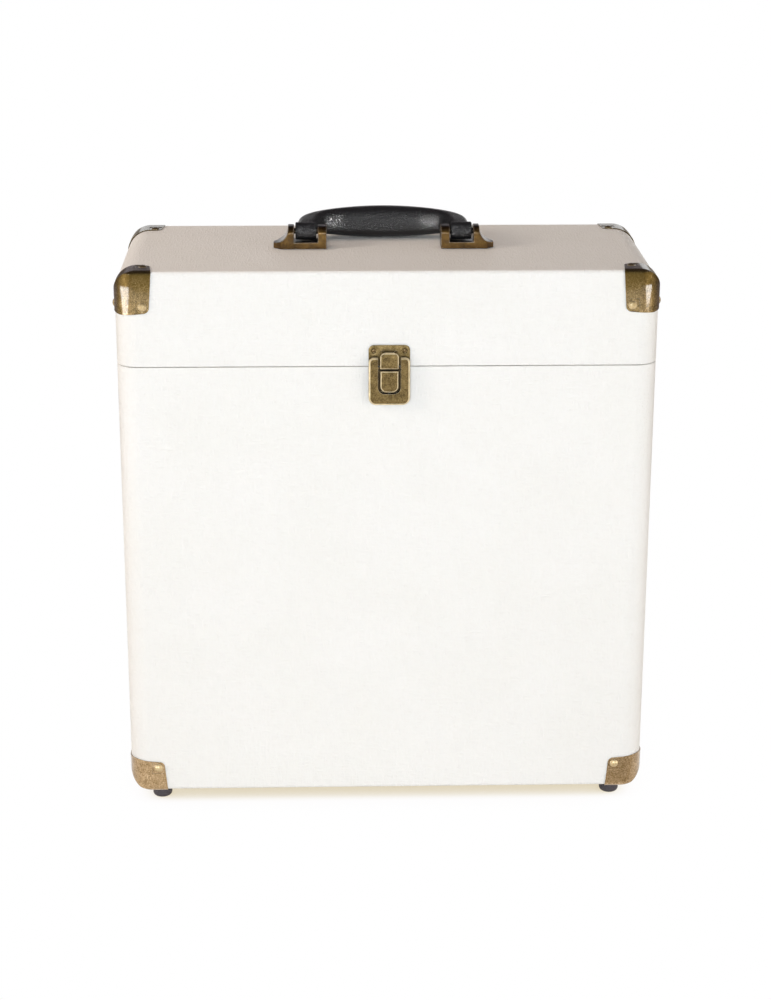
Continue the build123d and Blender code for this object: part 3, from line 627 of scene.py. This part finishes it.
# a spot lamp where the look has a cone, and a rectangular one otherwise
def makeLamp(name, look):
    lamp = bpy.data.lights.new(name, "SPOT" if "cone" in look else "AREA")
    if "cone" in look:
        lamp.spot_size = math.radians(look["cone"])
        lamp.spot_blend = 1
        lamp.shadow_soft_size = look["radius"] * mm
    else:
        lamp.shape = "RECTANGLE"
        lamp.size, lamp.size_y = [side * mm for side in look["size"]]
    lamp.energy = look["power"]
    lamp.color = linear(look["colour"])[:3]
    holder = bpy.data.objects.new(name, lamp)
    scene.collection.objects.link(holder)
    holder.location = Vector(look["place"]) * mm
    holder.rotation_euler = (Vector(look["aim"]) - Vector(look["place"])).to_track_quat("-Z", "Y").to_euler()
    holder.visible_glossy = name == "key" or "only" in look
    if "only" in look:
        holder.visible_diffuse = False
        lit = bpy.data.collections.new(name + "_lights")
        lit.objects.link(bpy.data.objects[look["only"]])
        holder.light_linking.receiver_collection = lit


# cards that show only in reflections, so that the metal has contrast: dark flags, and two bright softboxes
# for the brass corners. Each card's own corners are in millimetres, in order round it
cards = {
    "leftFrontFlag": {
        "corners": ((-420, -300, 316), (-100, -300, 316), (-100, -300, 760), (-420, -300, 760)),
        "colour": "4A4448", "strength": 1},
    "rightFrontFlag": {
        "corners": ((100, -300, 316), (420, -300, 316), (420, -300, 760), (100, -300, 760)),
        "colour": "4A4448", "strength": 1},
    "topFlag": {
        "corners": ((-1300, -800, 1550), (1300, -800, 1550), (1300, 1300, 1550), (-1300, 1300, 1550)),
        "colour": "4A4448", "strength": 1},
    "backFlag": {
        "corners": ((-500, 350, 455), (500, 350, 455), (500, 350, 1400), (-500, 350, 1400)),
        "colour": "6A6468", "strength": 1},
    "leftFlag": {
        "corners": ((-1300, -350, 0), (-1300, 1300, 0), (-1300, 1300, 470), (-1300, -350, 470)),
        "colour": "5A5458", "strength": 1},
    "rightFlag": {
        "corners": ((1300, -350, 0), (1300, 1300, 0), (1300, 1300, 470), (1300, -350, 470)),
        "colour": "5A5458", "strength": 1},
    "leftCornerFlag": {
        "corners": ((-420, 40, 180), (-183, 40, 180), (-183, 40, 440), (-420, 40, 440)),
        "colour": "8A8488", "strength": 1},
    "rightCornerFlag": {
        "corners": ((183, 40, 180), (420, 40, 180), (420, 40, 368), (183, 40, 368)),
        "colour": "6A6468", "strength": 1},
    "middleFlag": {
        "corners": ((-100, -300, 440), (100, -300, 440), (100, -300, 760), (-100, -300, 760)),
        "colour": "4A4448", "strength": 1},
    "rightFloorFlag": {
        "corners": ((130, -230, 1), (260, -230, 1), (260, -95, 1), (130, -95, 1)),
        "colour": "A8A4A0", "strength": 1},
    "leftSoftbox": {
        "corners": ((-768, -884, 172), (-1179, -110, 172), (-1179, -110, 148),
                    (-1075, -530, 80), (-998, -657, 80), (-768, -884, 146)),
        "colour": "FFFFFF", "strength": 13},
    "rightSoftbox": {
        "corners": ((796, -863, 172), (1150, -317, 172), (1150, -317, 146),
                    (1080, -520, 120), (895, -775, 120), (796, -863, 146)),
        "colour": "FFFFFF", "strength": 12},
}


def makeCard(name, look):
    material, tree = newMaterial(name + "_card")
    shade = addNode(tree, "Emission", {"Color": linear(look["colour"]), "Strength": look["strength"]})
    form = bmesh.new()
    form.faces.new([form.verts.new(Vector(corner) * mm) for corner in look["corners"]])
    card = makeObject(name, form, finishMaterial(material, tree, shade))
    for ray in ("camera", "diffuse", "shadow", "transmission", "volume_scatter"):
        setattr(card, "visible_" + ray, False)


# 1 for rays that show the background: seen directly, in a reflection or through glass
def addShowsBackground(tree):
    ray = addNode(tree, "LightPath", {})
    shown = addNode(tree, "Math", {0: ray.outputs["Is Camera Ray"], 1: ray.outputs["Is Glossy Ray"]},
                    operation="MAXIMUM")
    return addNode(tree, "Math", {0: shown.outputs[0], 1: ray.outputs["Is Transmission Ray"]},
                   operation="MAXIMUM").outputs[0]


# a plain white room: what it adds to the light, and what is seen of it
sky = {
    "fill": "FFFBF6",
    "fillStrength": 0.25,
    "backdrop": "FFFFFF",
}


def makeSky(look):
    world = bpy.data.worlds.new("white_studio")
    scene.world = world
    world.use_nodes = True
    tree = world.node_tree
    tree.nodes.clear()
    shown = addShowsBackground(tree)
    fill = addNode(tree, "Background", {"Color": linear(look["fill"]), "Strength": look["fillStrength"]})
    backdrop = addNode(tree, "Background", {"Color": linear(look["backdrop"]), "Strength": 1})
    mix = addNode(tree, "MixShader", {0: shown, 1: fill.outputs[0], 2: backdrop.outputs[0]})
    addNode(tree, "OutputWorld", {"Surface": mix.outputs[0]})


# a white table: matt to the lamps, and seen as white with a warm shadow close round the case
whiteTable = {
    "size": 12000,
    "matt": "EFEDE8",
    "shadow": ((0.05, "DCD0B4"), (0.20, "F1EBDF"), (0.32, "FBF9F6"), (0.46, "FEFDFD"), (0.66, "FFFFFF")),
    "shadowReach": 60,
}


def makeTable(look):
    material, tree = newMaterial("white_table")
    shown = addShowsBackground(tree)
    matt = addNode(tree, "BsdfDiffuse", {"Color": linear(look["matt"])})
    contact = addNode(tree, "AmbientOcclusion", {"Distance": look["shadowReach"] * mm}, samples=16)
    shadow = addNode(tree, "ValToRGB", {"Fac": contact.outputs["AO"]}, look["shadow"])
    glow = addNode(tree, "Emission", {"Color": shadow.outputs["Color"]})
    mix = addNode(tree, "MixShader", {0: shown, 1: matt.outputs[0], 2: glow.outputs[0]})
    form = bmesh.new()
    bmesh.ops.create_grid(form, x_segments=1, y_segments=1, size=look["size"] / 2 * mm)
    floor = makeObject("floor", form, finishMaterial(material, tree, mix))


for lampName, look in studio.items():
    makeLamp(lampName, look)
for cardName, look in cards.items():
    makeCard(cardName, look)
makeSky(sky)
makeTable(whiteTable)
scene.view_settings.view_transform = "Standard"
print("studio ready")
